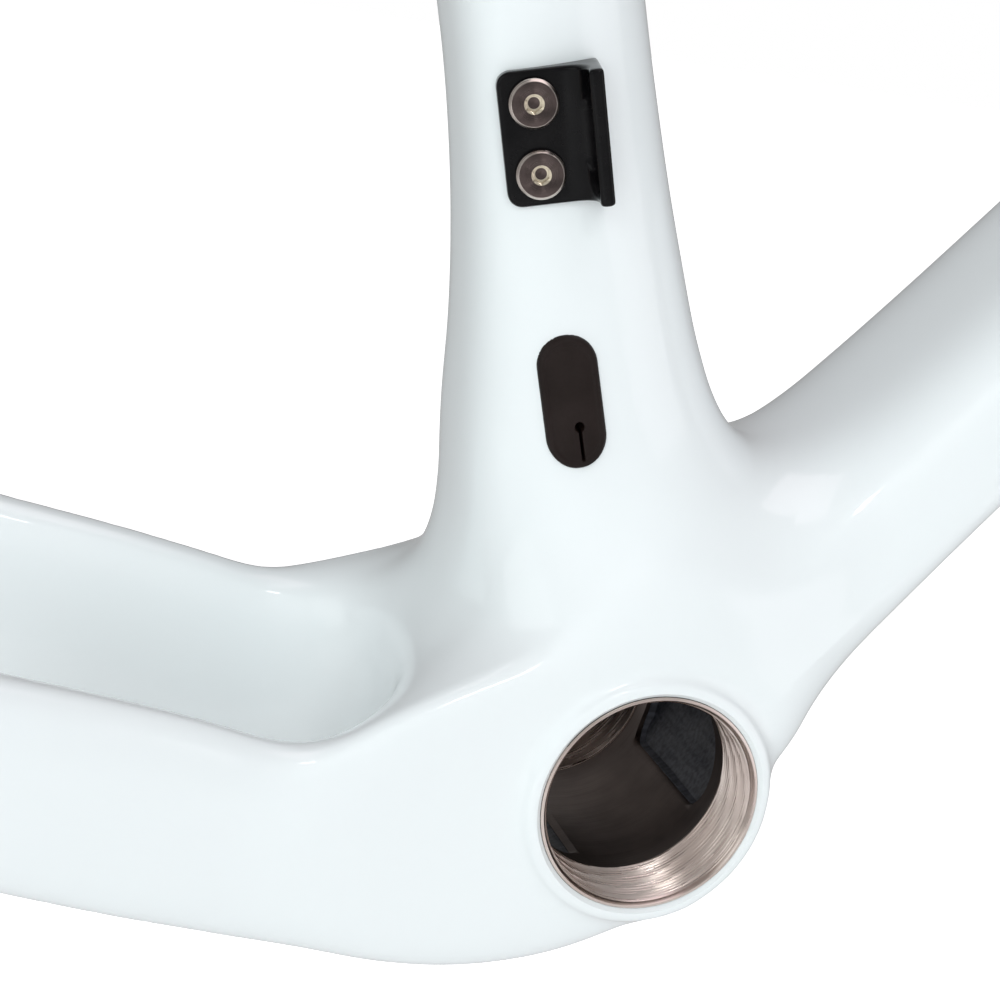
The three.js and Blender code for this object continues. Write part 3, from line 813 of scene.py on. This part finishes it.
def paint_material():
    n = Nodes("white_paint")
    cloud = n.noise(9, 1)
    colour = n.ramp(cloud, (0.2, (0.815, 0.87, 0.885)), (0.8, (0.83, 0.885, 0.895)))
    n.set(Base_Color=colour, Roughness=n.range(n.noise(30, 1), 0.2, 0.8, 0.3, 0.36))
    n.set(Coat_Weight=0.8, Coat_Roughness=0.05, Coat_IOR=1.5, IOR=1.45)
    peel = n.bump(n.noise(420, 2), 0.00003, 0.35)
    n.set(Normal=peel, Coat_Normal=n.bump(n.noise(260, 1), 0.00003, 0.2))
    return n.material


def carbon_material():
    n = Nodes("bare_carbon")
    fibres = n.noise(900, 3, n.stretched(0.08, 1, 1))
    cross = n.noise(700, 2, n.stretched(1, 0.1, 1))
    # Both colours are lighter and bluer than bare carbon: painted light for the insides of the tubes, which
    # little lamp light reaches. The same colours also go on the cut ends and the laps; the fibre noise is
    # the grain.
    colour = n.ramp(fibres, (0.35, (0.03, 0.031, 0.038)), (0.65, (0.075, 0.077, 0.092)))
    n.set(Base_Color=colour, Roughness=n.range(cross, 0.3, 0.7, 0.35, 0.6))
    n.set(Normal=n.bump(fibres, 0.00008, 0.6))
    return n.material


def aluminium_material():
    n = Nodes("machined_aluminium")
    marks = n.noise(60, 2, n.stretched(1, 20, 1))
    stains = n.noise(45, 4)
    colour = n.ramp(stains, (0.3, (0.60, 0.49, 0.44)), (0.7, (0.80, 0.72, 0.67)))
    n.set(Base_Color=colour, Metallic=1.0, Roughness=n.range(marks, 0.3, 0.7, 0.24, 0.34))
    n.set(Normal=n.bump(marks, 0.00001, 0.3))
    return n.material


# A dark copy of the sleeve's aluminium: painted shade for the plain bore deep inside the sleeve. The noise
# only varies the tone at random.
def shaded_bore_material():
    n = Nodes("bore_aluminium_painted_shade")
    marks = n.noise(60, 4, n.stretched(1, 60, 1))
    stains = n.noise(38, 4)
    colour = n.ramp(stains, (0.3, (0.07, 0.052, 0.046)), (0.7, (0.17, 0.135, 0.12)))
    n.set(Base_Color=colour, Metallic=1.0, Roughness=n.range(marks, 0.3, 0.7, 0.34, 0.5))
    n.set(Normal=n.bump(marks, 0.00003, 0.5))
    return n.material


def anodised_material():
    n = Nodes("black_anodised")
    wear = n.noise(120, 4)
    colour = n.ramp(wear, (0.35, (0.002, 0.002, 0.0025)), (0.75, (0.006, 0.0055, 0.006)))
    n.set(Base_Color=colour, Metallic=0.0, Roughness=n.range(n.noise(200, 3), 0.3, 0.7, 0.12, 0.2))
    n.set(Specular_IOR_Level=0.15)
    n.set(Normal=n.bump(n.noise(900, 2), 0.00002, 0.4))
    return n.material


def turned_steel(name, dark, light, rough):
    """Steel with rings turned about the piece's own Y axis."""
    n = Nodes(name)
    flat = n.stretched(1, 0, 1)
    radius = n.new("VectorMath", Vector=flat)
    radius.operation = "LENGTH"
    rings = n.tree.nodes.new("ShaderNodeTexNoise")
    rings.noise_dimensions = "1D"
    n.put(rings.inputs["W"], radius.outputs["Value"])
    n.put(rings.inputs["Scale"], 5200.0)
    n.put(rings.inputs["Detail"], 2.0)
    colour = n.ramp(n.noise(260, 3), (0.3, dark), (0.7, light))
    ridges = rings.outputs["Fac"]
    n.set(Base_Color=colour, Metallic=1.0, Roughness=n.range(ridges, 0.3, 0.7, rough, rough + 0.12))
    n.set(Normal=n.bump(ridges, 0.00001, 0.6))
    return n.material


def rubber_material():
    n = Nodes("black_rubber")
    grain = n.noise(1400, 2)
    colour = n.ramp(n.noise(90, 3), (0.3, (0.008, 0.004, 0.003)), (0.7, (0.015, 0.009, 0.008)))
    n.set(Base_Color=colour, Roughness=n.range(grain, 0.3, 0.7, 0.4, 0.55))
    n.set(Specular_IOR_Level=0.22)
    n.set(Normal=n.bump(grain, 0.00003, 0.5))
    return n.material


def floor_material():
    n = Nodes("floor")
    pale = n.ramp(n.noise(3, 2), (0.3, (0.93, 0.93, 0.93)), (0.7, (0.95, 0.95, 0.95)))
    n.set(Base_Color=pale, Roughness=0.9)
    seen = n.new("LightPath").outputs["Is Camera Ray"]
    n.set(Emission_Color=(1, 1, 1, 1), Emission_Strength=n.range(seen, 0, 1, 0.05, 0.9))
    return n.material


MATERIALS = {
    "paint": paint_material(),
    "carbon": carbon_material(),
    "aluminium": aluminium_material(),
    # dark copy of the aluminium: painted shade in the middle of the bore
    "bore": shaded_bore_material(),
    "anodised": anodised_material(),
    "bolt_face": turned_steel("bolt_steel", (0.07, 0.055, 0.052), (0.13, 0.10, 0.095), 0.24),
    "bolt_rim": turned_steel("bolt_rim", (0.50, 0.44, 0.40), (0.70, 0.63, 0.58), 0.18),
    "bolt_socket": turned_steel("bolt_socket", (0.62, 0.54, 0.42), (0.78, 0.70, 0.55), 0.2),
    "rivnut": turned_steel("rivnut_aluminium", (0.55, 0.54, 0.52), (0.68, 0.67, 0.65), 0.3),
    "rubber": rubber_material(),
}


# ---------------------------------------------------------------- assembly
windows = [window("window_front", 23, 57, 44), window("window_rear", 202, 52, 42)]


def add(piece, body, slot, *nodes):
    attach(piece, body)
    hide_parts(*nodes)


for node, piece in painted_pieces().items():
    add(piece, "frame", "white_paint", node)
add(sleeve(), "frame", "machined_aluminium", "threaded_sleeve")
discard(*windows)
add(hanger(), "hanger", "black_anodised", "front_derailleur_hanger")
add(grommet(), "grommet", "black_rubber", "cable_port_grommet")
for place in BOLT_SPOTS:
    add(bolt(f"bolt_{place}_steel", place), f"bolt_{place}", "bolt_steel", f"hanger_bolt_{place}")
KEPT_NODES = {
    "carbon": ("seat_tube_lap", "down_tube_lap", "chainstay_drive_lap", "chainstay_nondrive_lap"),
    "rivnut": ("hanger_rivnut_upper", "hanger_rivnut_lower"),
}
for key, names in KEPT_NODES.items():
    for name in names:
        for material_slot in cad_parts[name].material_slots:
            material_slot.material = MATERIALS[key]


# ---------------------------------------------------------------- camera, floor and light
def camera():
    azimuth, elevation, roll = math.radians(-19.4), math.radians(15.24), math.radians(9.97)
    distance, shift_x, shift_y = 508.8, 19.97, -52.05
    level = math.cos(elevation)
    back = Vector((math.sin(azimuth) * level, -math.cos(azimuth) * level, math.sin(elevation)))
    right = Vector((math.cos(azimuth), math.sin(azimuth), 0))
    up = back.cross(right)
    rolled_right = right * math.cos(roll) + up * math.sin(roll)
    rolled_up = up * math.cos(roll) - right * math.sin(roll)
    place = back * distance - rolled_right * shift_x - rolled_up * shift_y
    data = bpy.data.cameras.new("camera")
    data.lens, data.sensor_width = 79.2, 36
    data.clip_start, data.clip_end = 0.01, 50
    obj = bpy.data.objects.new("camera", data)
    obj.matrix_world = axes_matrix(rolled_right, rolled_up, back, place)
    bpy.context.scene.collection.objects.link(obj)
    bpy.context.scene.camera = obj


def area_light(name, place, width, height, power, colour, in_reflections=True):
    """A soft light that faces the junction. Its place and size are in metres."""
    data = bpy.data.lights.new(name, "AREA")
    data.shape = "RECTANGLE"
    data.size, data.size_y = width, height
    data.energy = power
    data.color = colour
    obj = bpy.data.objects.new(name, data)
    obj.visible_glossy = in_reflections
    place, target = Vector(place), Vector((-0.02, 0, 0.06))
    turn = (target - place).to_track_quat("-Z", "Y").to_matrix().to_4x4()
    obj.matrix_world = Matrix.Translation(place) @ turn
    bpy.context.scene.collection.objects.link(obj)


def studio_floor():
    far, depth = 9000, -420
    corners = [(-far, -far, depth), (far, -far, depth), (far, far, depth), (-far, far, depth)]
    floor = new_object("floor", corners, [(0, 1, 2, 3)])
    floor.data.materials.append(floor_material())


def studio_world():
    """White behind the part, and dimmer as a light."""
    world = bpy.data.worlds.new("studio")
    world.use_nodes = True
    tree = world.node_tree
    seen = tree.nodes.new("ShaderNodeLightPath").outputs["Is Camera Ray"]
    level = tree.nodes.new("ShaderNodeMapRange")
    level.inputs["To Min"].default_value = 0.31
    level.inputs["To Max"].default_value = 1.0
    tree.links.new(seen, level.inputs["Value"])
    tree.nodes["Background"].inputs["Color"].default_value = (1, 1, 1, 1)
    tree.links.new(level.outputs[0], tree.nodes["Background"].inputs["Strength"])
    bpy.context.scene.world = world


def studio_lights():
    area_light("key", (-0.7, -1.8, 0.5), 1.5, 1.3, 16, (0.96, 1.0, 1.0), in_reflections=False)
    area_light("front", (-0.5, -2.2, 0.3), 3.4, 3.0, 7, (0.97, 0.99, 1.0))
    area_light("fill", (1.3, -1.1, 0.0), 1.2, 1.4, 4.5, (1.0, 0.94, 0.98))
    area_light("top", (0.1, -0.2, 1.6), 1.2, 1.2, 6.0, (1.0, 0.88, 0.93))
    area_light("left", (-1.6, -0.6, 0.5), 1.2, 1.4, 5.0, (0.95, 1.0, 1.0))
    area_light("glint", (-0.12, -1.0, 0.8), 0.2, 0.08, 0.8, (1, 1, 1))


camera()
studio_floor()
studio_world()
studio_lights()
bpy.context.scene.view_settings.view_transform = "Standard"
